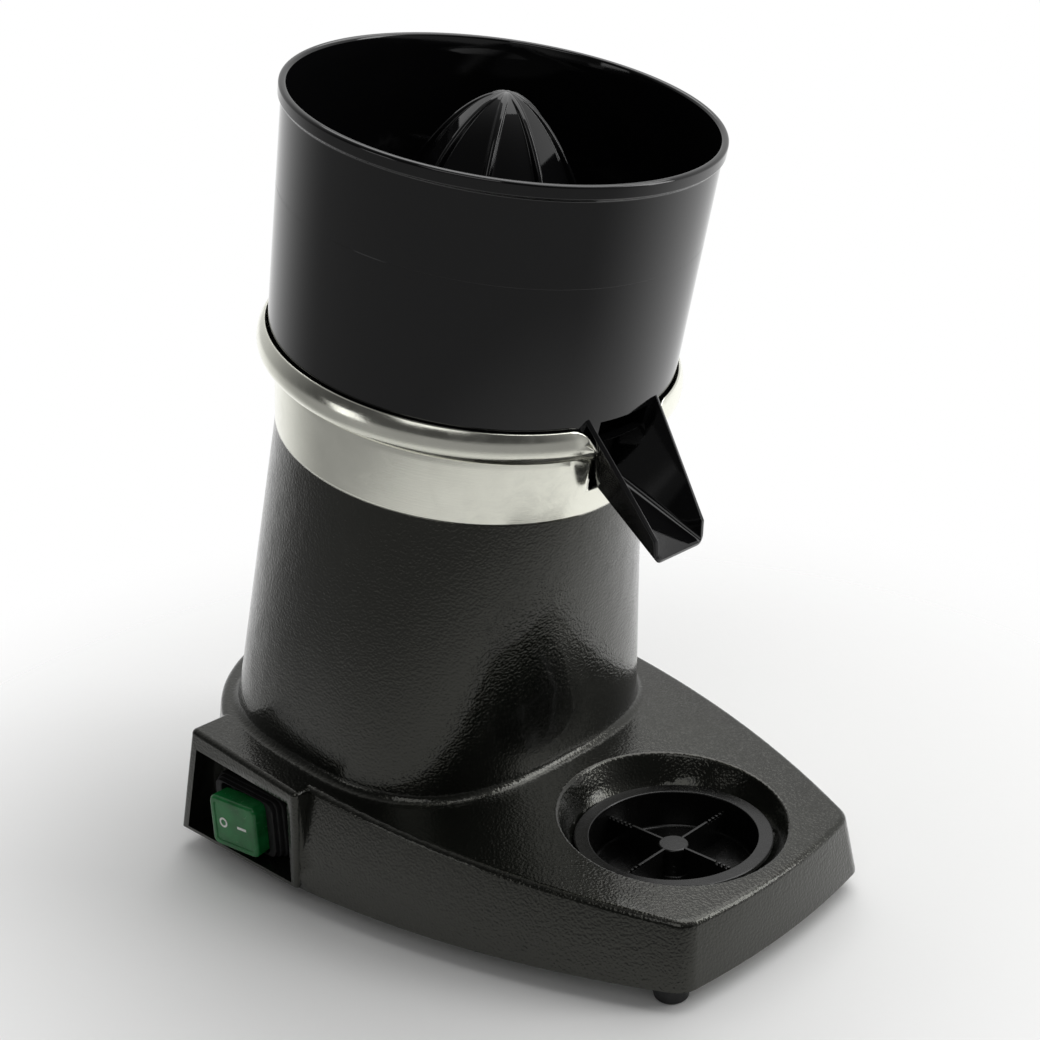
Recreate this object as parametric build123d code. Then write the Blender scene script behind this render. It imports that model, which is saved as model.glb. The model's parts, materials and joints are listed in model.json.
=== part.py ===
from build123d import *
import math
import os

os.makedirs("parts", exist_ok=True)

# Driving dimensions, in millimetres and degrees.
# Front is -Y, up is +Z, the floor is z = 0 and the machine is symmetric about x = 0 but for its switch.

# Whole machine
width = 214.0
depth = 305.0
axis_tilt = 14.6
axis_forward = 21.7
column_top_z = 189.3

# Fits and clearances
seat_gap = 0.3
slide_gap = 0.4
bolt_gap = 0.05
run_gap = 0.05
overlap = 1.0

# Cast body: base block, sloping deck, column and switch shroud
wall = 4.0
foot_height = 9.0
deck_front_z = 35.8
deck_slope = 5.73
side_draft = 12.5
front_draft = 5.0
rear_draft = 5.0
front_bow = 5.0
side_radius = 459.0
widest_behind = 15.0
corner_radius = 11.0
deck_edge_radius = 3.0
column_top_r = 79.6
column_side_margin = 20.0
column_front_margin = 14.3
column_rear_margin = 20.5
column_foot_shift = 7.75
column_foot_power = 2.9
column_foot_points = 24
column_sink = 12.0
column_fillet = 4.2
top_plate = 6.0
shroud_forward = 16.5
shroud_length = 84.5
shroud_depth = 47.0
shroud_face_draft = 4.0
shroud_rear_draft = 13.0
shroud_edge_radius = 2.5

# Drip cup and its recess in the deck
recess_front_margin = 9.9
cup_wall_r = 38.2
cup_inner_r = 35.4
cup_lip_r = 41.8
cup_lip_thick = 2.2
cup_sink = 3.0
cup_floor = 2.0
cup_height = 19.3
recess_r = 48.4
recess_edge_radius = 2.0
cup_post_r = 6.5
cup_rib_thick = 1.6
cup_rib_drop = 4.5
cup_notch_size = 1.2
cup_notch_count = 4

# Bottom plate, feet and their screws
plate_thick = 2.0
boss_r = 5.5
foot_top_r = 8.0
foot_tip_r = 6.8
foot_stem_r = 4.2
foot_chamfer = 1.5
front_foot_side_inset = 6.26
front_foot_inset = 17.0
rear_foot_side_inset = 35.0
rear_foot_inset = 47.5
front_boss_height = 9.0
side_screw_inset = 25.0
side_screw_forward = 52.5
rear_screw_x = 34.0
rear_screw_inset = 21.5
screw_r = 2.0
screw_head_r = 3.9
screw_head_height = 2.2
screw_grip = 8.0

# Collar on top of the column, stations measured up the leaning axis from the column's top
collar_floor = 4.0
collar_wall = 3.0
collar_band_height = 27.0
collar_band_flare = 2.2
collar_bead_thick = 3.6
collar_bead_height = 18.9
collar_neck_out = 3.6
collar_neck_rise = 4.2
collar_neck_hollow_out = 1.1
collar_neck_hollow_rise = 3.0
collar_crest_share = 0.6
collar_seat_share = 0.5
collar_hole_r = 12.0
notch_gap = 0.8
notch_floor = 12.5
collar_screw_inset = 17.6
collar_screw_count = 4

# Bowl and spout
bowl_wall = 2.6
bowl_floor_station = 32.0
bowl_step = 4.0
bowl_flare = 1.2
bowl_rim_out = 1.3
bowl_rim_station = 145.6
bowl_rim_height = 6.0
bowl_rim_width = 3.0
bowl_rim_chamfer = 0.8
bowl_shoulder_station = 46.0
bowl_heel_in = 1.4
bowl_heel_drop = 9.5
bowl_heel_rise = 2.0
skirt_gap = 1.3
skirt_wall = 3.0
chimney_r = 13.0
chimney_bore_r = 9.5
chimney_top = 62.0
spout_root_half_width = 21.2
spout_keel_half_width = 6.0
spout_tip_half_width = 15.4
spout_wall = 2.2
spout_floor = 2.4
spout_length = 40.8
spout_tip_station = 2.5
spout_tip_height = 9.6
spout_root_station = 14.0
spout_root_inset = 2.8
spout_root_height = 36.9
spout_mouth_rake = 2.0
spout_mouth_taper = 0.6
spout_sink = 8.5
spout_window_rise = 1.0
spout_window_margin = 0.6

# Strainer
strainer_gap = 2.7
strainer_hole_r = 15.5
strainer_thick = 2.5
strainer_station = 53.0
strainer_rim_height = 5.0
strainer_leg_r = 3.0
strainer_leg_inset = 14.5
strainer_leg_count = 6
slot_width = 2.4
inner_slot_r = 24.0
inner_slot_length = 20.0
inner_slot_count = 20
outer_slot_r = 49.0
outer_slot_margin = 7.5
outer_slot_count = 36

# Reamer
reamer_base_station = 82.0
reamer_tip_station = 149.8
reamer_r = 43.5
reamer_body_r = 39.5
reamer_skirt_height = 4.0
reamer_shell = 4.0
reamer_hub_r = 12.0
reamer_hub_drop = 16.0
reamer_rib_count = 8
reamer_rib_turn = 35.0
reamer_rib_thick = 2.4
reamer_crest_r = 1.0
reamer_waist_share = 0.80
reamer_waist_rise = 0.42
reamer_neck_share = 0.47
reamer_neck_rise = 0.80
reamer_cavity_share = 0.84
reamer_cavity_rise = 0.35

# Motor, hung under the column's top plate
shaft_r = 6.0
shaft_top = 90.0
shaft_bottom = -130.0
motor_r = 59.5
motor_ring = 9.0
bracket_plate = 8.0
bracket_height = 30.0
lower_bracket_height = 28.0
bearing_r = 13.0
bearing_width = 9.0
bearing_boss_r = 18.0
bearing_shoulder_r = 9.0
bearing_step = 1.0
bearing_lip = 2.0
stator_length = 48.0
stator_bore_r = 30.0
air_gap = 0.5
winding_inner_r = 33.0
winding_outer_r = 48.0
winding_height = 10.0
tie_circle_r = 55.0
tie_head_height = 4.0
tie_end_gap = 1.5
tie_count = 4
fan_r = 46.0
fan_hub_r = 11.0
fan_height = 11.0
fan_disc = 2.0
fan_blade_count = 8
fan_blade_thick = 2.0
fan_clear = 5.0
seal_r = 15.9
slinger_r = 15.0
slinger_thick = 3.0
slinger_station = 7.0
pin_r = 1.5
pin_half_length = 9.0
pin_station = 75.0

# Switch in its shroud on the left side
switch_back = 42.5
switch_z = 25.2
switch_recess_depth = 13.0
switch_well_floor = 4.0
opening_front_wall = 2.5
opening_rear_wall = 5.5
opening_top_gap = 4.0
opening_top_rise = 4.0
opening_lip = 1.4
opening_front_flare = 8.0
opening_rear_flare = 1.0
opening_top_flare = 5.0
switch_length = 30.0
switch_height = 20.0
switch_depth = 26.0
flange_margin = 1.8
flange_thick = 1.2
bezel_length = 46.0
bezel_height = 29.0
bezel_step = 2.2
bezel_step_count = 3
bezel_setback_length = 2.6
bezel_setback_height = 0.5
cap_length = 28.0
cap_height = 24.4
cap_reach = 11.5
cap_lift = 2.3
cap_edge_radius = 3.0
cap_end_gap = 1.6
cap_side_gap = 0.6
rocker_stem_length = 22.0
rocker_stem_height = 13.0
rocker_stem_depth = 9.5
rocker_room = 1.8
rocker_angle = 7.0
rocker_pivot_depth = 3.0
rocker_pin_r = 1.5

# Electrics on the bottom plate and the cord's gland
capacitor_r = 16.0
capacitor_length = 58.0
capacitor_x = 4.0
capacitor_inset = 52.5
clip_thick = 1.5
clip_width = 12.0
clip_stand = 1.5
terminal_length = 36.0
terminal_width = 16.0
terminal_height = 14.0
terminal_x = 45.0
terminal_forward = 12.5
terminal_count = 4
gland_x = 52.0
gland_z = 26.5
gland_inset = 21.5
gland_boss = 9.0
gland_boss_r = 14.0
gland_flange_r = 10.0
gland_flange = 3.0
gland_clear = 1.0
gland_thread_r = 7.9
gland_thread = 17.0
gland_nose_r = 6.6
gland_nose = 12.0
gland_nose_taper = 1.0
gland_bore_r = 3.6
gland_nut_flats = 19.0
gland_nut = 6.0


# Places on the base, from its ends and sides
front_y = -depth / 2
rear_y = depth / 2
face_x = -width / 2
cup_y = front_y + recess_front_margin + recess_r
column_front_y = cup_y + recess_r + column_front_margin
column_rear_y = rear_y - column_rear_margin
column_foot_y = (column_front_y + column_rear_y) / 2 - column_foot_shift
column_foot_front = column_foot_y - column_front_y
column_foot_rear = column_rear_y - column_foot_y
column_foot_half_width = width / 2 - column_side_margin
axis_y = column_foot_y - axis_forward
widest_y = column_foot_y + widest_behind
cup_lip_top_z = deck_front_z - cup_sink
shroud_front_y = column_foot_y - shroud_forward
switch_y = shroud_front_y + switch_back
switch_floor_x = face_x + switch_recess_depth
gland_seat_y = rear_y - gland_inset

# Radii of the collar, bowl and strainer, each from the piece that it sits in
band_top_r = column_top_r + collar_band_flare
band_inner_r = column_top_r - collar_wall + collar_band_flare / 2
skirt_r = band_inner_r - skirt_gap
bowl_low_r = band_top_r + bowl_step
bowl_high_r = bowl_low_r + bowl_flare
bowl_rim_r = bowl_high_r + bowl_rim_out
bead_inner_r = bowl_low_r + slide_gap
collar_bead_r = bead_inner_r + collar_bead_thick
spout_root_reach = bowl_low_r - spout_root_inset
spout_reach = spout_root_reach + spout_length
strainer_r = bowl_low_r - bowl_wall - strainer_gap
outer_slot_length = strainer_r - outer_slot_margin - outer_slot_r


def tangent(angle):
    return math.tan(math.radians(angle))


def leaning_plane(origin, angle):
    """Plane whose normal leans forward from the vertical by an angle."""
    lean = math.radians(angle)
    return Plane(origin=origin, x_dir=(1, 0, 0), z_dir=(0, -math.sin(lean), math.cos(lean)))


def deck_z(y):
    return deck_front_z + (y - front_y) * tangent(deck_slope)


axis = leaning_plane((0, axis_y, column_top_z), axis_tilt)
deck = leaning_plane((0, 0, deck_z(0)), deck_slope)


def turned(*points):
    """Solid turned about the z axis from (radius, height) points."""
    return revolve(Plane.XZ * make_face(Polyline(*points, close=True)), Axis.Z)


def rod(radius, low, high):
    base = (Align.CENTER, Align.CENTER, Align.MIN)
    return Pos(0, 0, low) * Cylinder(radius, high - low, align=base)


def ring(outer, inner, low, high):
    return rod(outer, low, high) - rod(inner, low, high)


def block(low, high):
    size = [b - a for a, b in zip(low, high)]
    middle = [(a + b) / 2 for a, b in zip(low, high)]
    return Pos(*middle) * Box(*size)


def around(count, radius, start=0):
    """Places evenly spaced on a circle about the z axis, turned to face outward."""
    return [Rot(0, 0, start + 360 * i / count) * Pos(radius, 0, 0) for i in range(count)]


def save(name, *shapes):
    solids = [solid for shape in shapes for solid in shape.solids()]
    export_step(solids[0] if len(solids) == 1 else Compound(solids), f"parts/{name}.step")


def base_section(rise, inset):
    """Outline of the base at a height above its lower edge, drawn in by an inset."""
    side = width / 2 - rise * tangent(side_draft) - inset
    front = front_y + rise * tangent(front_draft) + inset
    rear = rear_y - rise * tangent(rear_draft) - inset
    corner_y = front + front_bow
    corner_x = side - side_radius + math.sqrt(side_radius**2 - (widest_y - corner_y) ** 2)
    right = TangentArc((side, widest_y), (corner_x, corner_y), tangent=(0, -1))
    bulge = right @ 0.5
    nose = ThreePointArc((corner_x, corner_y), (0, front), (-corner_x, corner_y))
    left = ThreePointArc((-corner_x, corner_y), (-bulge.X, bulge.Y), (-side, widest_y))
    back = EllipticalCenterArc((0, widest_y), side, rear - widest_y, start_angle=0, arc_size=180)
    return Pos(0, 0, foot_height + rise) * make_face([right, nose, left, back])


def column_shape(inset):
    """Column lofted from a rounded-square foot under the deck to its round leaning top."""
    points = []
    for step in range(column_foot_points):
        angle = 2 * math.pi * step / column_foot_points
        across = math.cos(angle)
        along = math.sin(angle)
        half = column_foot_rear if along > 0 else column_foot_front
        x = (column_foot_half_width - inset) * math.copysign(abs(across) ** (2 / column_foot_power), across)
        y = (half - inset) * math.copysign(abs(along) ** (2 / column_foot_power), along)
        points.append((x, column_foot_y + y))
    foot_plane = leaning_plane((0, 0, deck_z(0) - column_sink), deck_slope)
    foot = foot_plane * make_face(Spline(*points, periodic=True))
    top = axis * make_face(Circle(column_top_r - inset).edge())
    return loft([foot, top], ruled=True)


def lies_on_deck(edge):
    return all(abs(deck.to_local_coords(edge @ place).Z) < 0.001 for place in (0, 0.3, 0.7, 1))


# Cast body: base block with rounded corners, cut off by the sloping deck
loft_rise = deck_z(rear_y)
base_block = loft([base_section(0, 0), base_section(loft_rise, 0)], ruled=True)
upright = base_block.edges().filter_by(lambda edge: abs((edge @ 0).Z - (edge @ 1).Z) > loft_rise / 2)
base_block = fillet(upright.sort_by(Axis.Y)[:2], corner_radius)
base_block = split(base_block, bisect_by=deck, keep=Keep.BOTTOM)
base_block = fillet(base_block.edges().filter_by(lies_on_deck), deck_edge_radius)

# Switch shroud: a drafted block whose outer face carries the machine's greatest width
shroud_root_x = face_x + shroud_depth
shroud_rear_y = shroud_front_y + shroud_length


def shroud_section(rise):
    outer = face_x + rise * tangent(shroud_face_draft)
    rear = shroud_rear_y - rise * tangent(shroud_rear_draft)
    middle = ((outer + shroud_root_x) / 2, (shroud_front_y + rear) / 2)
    return Pos(*middle, foot_height + rise) * Rectangle(shroud_root_x - outer, rear - shroud_front_y)


shroud = loft([shroud_section(0), shroud_section(loft_rise)], ruled=True)
shroud = split(shroud, bisect_by=deck, keep=Keep.BOTTOM)
shroud_edges = [
    edge
    for edge in shroud.edges()
    if min((edge @ 0).X, (edge @ 1).X) < shroud_root_x - wall and edge.center().Z > foot_height + wall
]
shroud = fillet(shroud_edges, shroud_edge_radius)

# Column with a flared foot
body = base_block + shroud + column_shape(0)
foot_line = [edge for edge in body.edges().filter_by(lies_on_deck) if edge.is_closed]
body = fillet(foot_line, column_fillet)

# Round recess for the drip cup: a dished mouth on the deck, a shelf and a well
shelf_z = cup_lip_top_z - cup_lip_thick - seat_gap
well_floor_z = cup_lip_top_z - cup_height - seat_gap
mouth_plane = leaning_plane((0, cup_y, deck_z(cup_y)), deck_slope)
shelf_circle = Pos(0, cup_y, shelf_z) * Circle(cup_lip_r + slide_gap)
dish = loft([shelf_circle, mouth_plane * Circle(recess_r)], ruled=True)
body = body - dish - Pos(0, cup_y, 0) * rod(cup_wall_r + slide_gap, well_floor_z, shelf_z + wall)
mouth = [edge for edge in body.edges().filter_by(lies_on_deck) if edge.is_closed]
body = fillet(mouth, recess_edge_radius)

# Hollow inside: the base pocket and the column, apart from the cup's well and the switch's box
plate_top_z = foot_height + seat_gap + plate_thick
pocket = loft([base_section(0, wall), base_section(loft_rise, wall)], ruled=True)
pocket = split(pocket, bisect_by=deck.offset(-wall), keep=Keep.BOTTOM)
pocket = pocket - Pos(0, cup_y, 0) * rod(recess_r + wall, plate_top_z, column_top_z)
switch_box_x = switch_floor_x + switch_well_floor
switch_box_low = (face_x - wall, shroud_front_y - wall / 2, 0)
switch_box_high = (switch_box_x, shroud_rear_y + wall / 2, column_top_z)
pocket = pocket - block(switch_box_low, switch_box_high)
bore = split(column_shape(wall), bisect_by=axis.offset(-top_plate), keep=Keep.BOTTOM)
bore = bore - block(switch_box_low, (switch_box_x, shroud_rear_y + wall / 2, deck_z(shroud_front_y)))
outer_skin = body
body = body - pocket - bore

# Screw bosses that stand on the bottom plate and grow into the walls or the deck
front_run = widest_y - front_y - front_bow
front_corner_x = width / 2 - side_radius + math.sqrt(side_radius**2 - front_run**2)
front_foot_x = front_corner_x - front_foot_side_inset
front_foot_y = front_y + front_foot_inset
rear_foot_x = width / 2 - rear_foot_side_inset
rear_foot_y = rear_y - rear_foot_inset
side_screw_x = width / 2 - side_screw_inset
side_screw_y = widest_y - side_screw_forward
rear_screw_y = rear_y - rear_screw_inset
feet = [(side * front_foot_x, front_foot_y) for side in (-1, 1)]
feet += [(side * rear_foot_x, rear_foot_y) for side in (-1, 1)]
plate_screws = [(side * side_screw_x, side_screw_y) for side in (-1, 1)]
plate_screws += [(side * rear_screw_x, rear_screw_y) for side in (-1, 1)]
screw_top_z = plate_top_z + screw_grip
for x, y in feet + plate_screws:
    boss_top = plate_top_z + front_boss_height if y == front_foot_y else deck_z(y) - wall / 2
    body = body + Pos(x, y, 0) * rod(boss_r, plate_top_z, boss_top)
for x, y in feet + plate_screws:
    body = body - Pos(x, y, 0) * rod(screw_r + bolt_gap, plate_top_z, screw_top_z + seat_gap)

# Seat for the cable gland at the rear right
gland_place = Pos(gland_x, 0, gland_z) * Rot(-90, 0, 0)
gland_boss_low = gland_seat_y - gland_boss
boss_blank = gland_place * rod(gland_boss_r, gland_boss_low, rear_y)
body = body + (boss_blank & outer_skin)
body = body - gland_place * rod(gland_flange_r + gland_clear, gland_seat_y, depth)
body = body - gland_place * rod(gland_thread_r + bolt_gap, gland_boss_low - wall, depth)

# Column top: shaft hole, collar screw holes and motor bolt holes
ties = around(tie_count, tie_circle_r, 180 / tie_count)
collar_spots = around(collar_screw_count, column_top_r - collar_screw_inset)
tie_end = -tie_end_gap
body = body - axis * rod(seal_r + seat_gap, -top_plate, 0)
for place in collar_spots:
    body = body - axis * place * rod(screw_r + bolt_gap, -top_plate, 0)
for place in ties:
    body = body - axis * place * rod(screw_r + bolt_gap, -top_plate, tie_end + bolt_gap)

# Switch recess in the shroud, flared towards its mouth, with a window for the switch
opening_top_z = deck_z(shroud_front_y) - opening_top_gap
opening_low_z = foot_height + opening_lip


def opening_section(x, front_flare, rear_flare, top_flare):
    height = opening_top_z - opening_low_z - top_flare
    front = shroud_front_y + opening_front_wall + front_flare
    rear = shroud_rear_y - opening_rear_wall - rear_flare
    top = opening_low_z + height
    rear_top = rear - (height + opening_top_rise) * tangent(shroud_rear_draft)
    corners = [(front, opening_low_z), (rear, opening_low_z), (rear_top, top + opening_top_rise), (front, top)]
    return Plane.YZ.offset(x) * make_face(Polyline(*corners, close=True))


recess_mouth = opening_section(face_x - wall, 0, 0, 0)
recess_floor = opening_section(switch_floor_x, opening_front_flare, opening_rear_flare, opening_top_flare)
body = body - loft([recess_mouth, recess_floor], ruled=True)
window_half_length = switch_length / 2 + seat_gap
window_half_height = switch_height / 2 + seat_gap
body = body - block(
    (switch_floor_x - overlap, switch_y - window_half_length, switch_z - window_half_height),
    (switch_box_x + overlap, switch_y + window_half_length, switch_z + window_half_height),
)
save("body_casting", body)

# Polished collar: floor, flared band and rolled bead, notched at the front for the spout
bead_top = collar_band_height + collar_bead_height
bead_seat = collar_band_height + collar_bead_height * collar_seat_share
bead_crest = collar_band_height + collar_bead_height * collar_crest_share
bead_root = (band_top_r + collar_neck_out, collar_band_height + collar_neck_rise)
neck_hollow = (band_top_r + collar_neck_hollow_out, collar_band_height + collar_neck_hollow_rise)
bead_lip_r = bead_inner_r + overlap
collar_outline = [
    Line((collar_hole_r, 0), (column_top_r, 0)),
    Line((column_top_r, 0), (band_top_r, collar_band_height)),
    ThreePointArc((band_top_r, collar_band_height), neck_hollow, bead_root),
    ThreePointArc(bead_root, (collar_bead_r, bead_crest), (bead_lip_r, bead_top)),
    Line((bead_lip_r, bead_top), (bead_inner_r, bead_top)),
    Line((bead_inner_r, bead_top), (bead_inner_r, bead_seat)),
    Line((bead_inner_r, bead_seat), (band_inner_r, collar_band_height)),
    Line((band_inner_r, collar_band_height), (band_inner_r, collar_floor)),
    Line((band_inner_r, collar_floor), (collar_hole_r, collar_floor)),
    Line((collar_hole_r, collar_floor), (collar_hole_r, 0)),
]
collar = revolve(Plane.XZ * make_face(collar_outline), Axis.Z)
notch_half = spout_root_half_width + notch_gap
collar = collar - block(
    (-notch_half, -collar_bead_r - overlap, notch_floor),
    (notch_half, -skirt_r / 2, bead_top + overlap),
)
for place in collar_spots:
    collar = collar - place * rod(screw_r + bolt_gap, 0, collar_floor)
save("bowl_collar", axis * collar)


def screw(low, high, head_low, head_high):
    return rod(screw_r, low, high) + rod(screw_head_r, head_low, head_high)


collar_screw = screw(-top_plate + overlap, collar_floor, collar_floor, collar_floor + screw_head_height)
save("collar_screws", *[axis * place * collar_screw for place in collar_spots])

# Bowl: skirt that stands in the collar, floor, flaring wall, rim and a chimney round the shaft
floor_top = bowl_floor_station + bowl_wall
skirt_low = collar_floor + seat_gap
rim_low = bowl_rim_station - bowl_rim_height
bowl_inside = [
    (chimney_r, floor_top),
    (skirt_r, floor_top),
    (bowl_low_r - bowl_wall - bowl_heel_in, bowl_shoulder_station - bowl_heel_drop + bowl_heel_rise),
    (bowl_low_r - bowl_wall, bowl_shoulder_station),
    (bowl_high_r - bowl_wall, rim_low),
    (bowl_rim_r - bowl_rim_width, bowl_rim_station),
]
bowl = turned(
    *bowl_inside,
    (bowl_rim_r, bowl_rim_station),
    (bowl_rim_r, rim_low + bowl_rim_chamfer),
    (bowl_high_r, rim_low),
    (bowl_low_r, bowl_shoulder_station),
    (bowl_low_r - bowl_heel_in, bowl_shoulder_station - bowl_heel_drop),
    (skirt_r, bowl_floor_station - overlap),
    (skirt_r, skirt_low),
    (skirt_r - skirt_wall, skirt_low),
    (skirt_r - skirt_wall, bowl_floor_station),
    (chimney_bore_r, bowl_floor_station),
    (chimney_bore_r, chimney_top),
    (chimney_r, chimney_top),
)
bowl_room = turned(*bowl_inside[1:], (0, bowl_rim_station), (0, floor_top))

# Spout: an open trough, a deep V at the skirt and a flat-floored mouth at its tip
spout_start = spout_root_reach - spout_sink
spout_fall = (spout_root_station - spout_tip_station) / (spout_reach - spout_root_reach)
wall_fall = (spout_root_station + spout_root_height - spout_tip_station - spout_tip_height) / (
    spout_reach - spout_mouth_rake - spout_root_reach
)
root_low = spout_root_station + spout_sink * spout_fall
root_high = spout_root_station + spout_root_height + spout_sink * wall_fall


def trough_section(reach_low, reach_high, low, high, half_low, half_high):
    """Trough-shaped face across the spout; its foot and its top may lie at different reaches."""
    inner_low = low + spout_floor
    inner_reach = reach_low + (reach_high - reach_low) * (inner_low - low) / (high - low)
    corners = [
        (-half_high, -reach_high, high),
        (-half_low, -reach_low, low),
        (half_low, -reach_low, low),
        (half_high, -reach_high, high),
        (half_high - spout_wall, -reach_high, high),
        (half_low - spout_wall, -inner_reach, inner_low),
        (spout_wall - half_low, -inner_reach, inner_low),
        (spout_wall - half_high, -reach_high, high),
    ]
    return make_face(Polyline(*corners, close=True))


def spout_half_width(station):
    """Outer half width of the spout's root at a station."""
    share = (station - root_low) / (root_high - root_low)
    return spout_keel_half_width + share * (spout_root_half_width - spout_keel_half_width)


spout_root = trough_section(
    spout_start, spout_start, root_low, root_high, spout_keel_half_width, spout_root_half_width
)
spout_tip = trough_section(
    spout_reach,
    spout_reach - spout_mouth_rake,
    spout_tip_station,
    spout_tip_station + spout_tip_height,
    spout_tip_half_width - spout_mouth_taper,
    spout_tip_half_width,
)
spout = loft([spout_root, spout_tip], ruled=True) - bowl_room
window_top = bowl_shoulder_station + spout_window_rise
window_low_half = spout_half_width(floor_top) - spout_wall - spout_window_margin
window_top_half = spout_half_width(window_top) - spout_wall - spout_window_margin
window_corners = [
    (-window_low_half, floor_top),
    (window_low_half, floor_top),
    (window_top_half, window_top),
    (-window_top_half, window_top),
]
window_face = Plane.XZ.offset(skirt_r) * make_face(Polyline(*window_corners, close=True))
spout_window = extrude(window_face, bowl_low_r - skirt_r + overlap)
bowl = bowl - spout_window + spout
save("juice_bowl", axis * bowl)

# Strainer: slotted disc with a rim, on legs that stand on the bowl's floor
disc_top = strainer_station + strainer_thick
strainer = ring(strainer_r, strainer_hole_r, strainer_station, disc_top)
strainer = strainer + ring(strainer_r, strainer_r - strainer_thick, disc_top, disc_top + strainer_rim_height)
slots = []
for count, start, length in (
    (inner_slot_count, inner_slot_r, inner_slot_length),
    (outer_slot_count, outer_slot_r, outer_slot_length),
):
    cutter = block((start, -slot_width / 2, strainer_station), (start + length, slot_width / 2, disc_top))
    slots += [Rot(0, 0, 360 * (i + 0.5) / count) * cutter for i in range(count)]
strainer = strainer - slots
leg = rod(strainer_leg_r, floor_top + seat_gap, disc_top)
strainer_leg_circle_r = strainer_r - strainer_leg_inset
strainer_leg_places = around(strainer_leg_count, strainer_leg_circle_r, 180 / strainer_leg_count)
strainer = strainer + [place * leg for place in strainer_leg_places]
save("strainer", axis * strainer)

# Reamer: hollow pointed cone with sharp ribs, a skirt and a slotted hub on the shaft
skirt_top = reamer_base_station + reamer_skirt_height
tip = reamer_tip_station


def cone_curve(base_r, end_r, end):
    rise = end - skirt_top
    middle = (base_r * reamer_waist_share, skirt_top + rise * reamer_waist_rise)
    upper = (base_r * reamer_neck_share, skirt_top + rise * reamer_neck_rise)
    return Spline((base_r, skirt_top), middle, upper, (end_r, end))


cone = cone_curve(reamer_body_r, 0, tip)
cone_face = make_face([cone, Line((0, tip), (0, skirt_top)), Line((0, skirt_top), (reamer_body_r, skirt_top))])
reamer = revolve(Plane.XZ * cone_face, Axis.Z)
crest = cone_curve(reamer_r, reamer_crest_r, tip)
crest_foot = (reamer_crest_r, skirt_top)
rib_face = make_face([crest, Line((reamer_crest_r, tip), crest_foot), Line(crest_foot, (reamer_r, skirt_top))])
rib = extrude(Plane.XZ * rib_face, reamer_rib_thick / 2, both=True)
rib_turns = [reamer_rib_turn + 360 * i / reamer_rib_count for i in range(reamer_rib_count)]
reamer = reamer + [Rot(0, 0, turn) * rib for turn in rib_turns]
reamer = reamer + rod(reamer_r, reamer_base_station, skirt_top)
hub_low = reamer_base_station - reamer_hub_drop
cavity_top = skirt_top + (tip - skirt_top) * reamer_cavity_rise
reamer = reamer - turned(
    (reamer_hub_r, reamer_base_station),
    (reamer_body_r - reamer_shell, reamer_base_station),
    (reamer_body_r - reamer_shell, skirt_top),
    (reamer_body_r * reamer_cavity_share - 2 * reamer_shell, cavity_top),
    (reamer_hub_r, cavity_top),
)
reamer = reamer + rod(reamer_hub_r, hub_low, cavity_top)
reamer = reamer - rod(shaft_r + run_gap, hub_low, shaft_top + seat_gap)
slot_half = pin_r + seat_gap
slot_high = pin_station + slot_half
reamer = reamer - block((-reamer_hub_r, -slot_half, hub_low), (reamer_hub_r, slot_half, slot_high))
save("reamer", axis * reamer)

# Turning set: shaft with its drive pin, rotor, cooling fan and slinger
stator_top = -top_plate - bracket_height
stator_low = stator_top - stator_length
motor_low = stator_low - lower_bracket_height
press_bore = shaft_r + bolt_gap / 2
shaft = rod(shaft_r, shaft_bottom, shaft_top)
pin_place = Pos(0, 0, pin_station) * Rot(0, 90, 0)
shaft = shaft - pin_place * rod(pin_r + bolt_gap / 2, -shaft_r, shaft_r)
save("motor_shaft", axis * shaft)
save("drive_pin", axis * pin_place * rod(pin_r, -pin_half_length, pin_half_length))
save("rotor_core", axis * ring(stator_bore_r - air_gap, press_bore, stator_low, stator_top))
fan_top = motor_low - fan_clear
fan_low = fan_top - fan_height
fan = ring(fan_hub_r, press_bore, fan_low, fan_top)
fan = fan + ring(fan_r, fan_hub_r - overlap, fan_top - fan_disc, fan_top)
blade = block(
    (fan_hub_r - overlap, -fan_blade_thick / 2, fan_low),
    (fan_r, fan_blade_thick / 2, fan_top - fan_disc),
)
fan = fan + [Rot(0, 0, 360 * i / fan_blade_count) * blade for i in range(fan_blade_count)]
save("cooling_fan", axis * fan)
save("shaft_slinger", axis * ring(slinger_r, press_bore, slinger_station, slinger_station + slinger_thick))

# Fixed part of the motor: brackets that hold the bearings, stator, windings and tie bolts
ring_inner_r = motor_r - motor_ring
shoulder = bracket_plate + bearing_step
pocket_depth = shoulder + bearing_width + bearing_lip


def bracket(outer_face, inner_face):
    """End shield from its outer face to the stator's face, along either way of the axis."""
    way = 1 if inner_face > outer_face else -1
    shield = turned(
        (bearing_shoulder_r, outer_face),
        (motor_r, outer_face),
        (motor_r, inner_face),
        (ring_inner_r, inner_face),
        (ring_inner_r, outer_face + way * bracket_plate),
        (bearing_boss_r, outer_face + way * bracket_plate),
        (bearing_boss_r, outer_face + way * pocket_depth),
        (bearing_r + bolt_gap, outer_face + way * pocket_depth),
        (bearing_r + bolt_gap, outer_face + way * shoulder),
        (bearing_shoulder_r, outer_face + way * shoulder),
    )
    low = min(outer_face, inner_face)
    high = max(outer_face, inner_face)
    for place in ties:
        shield = shield - place * rod(screw_r + bolt_gap, low, high)
    return shield


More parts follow.
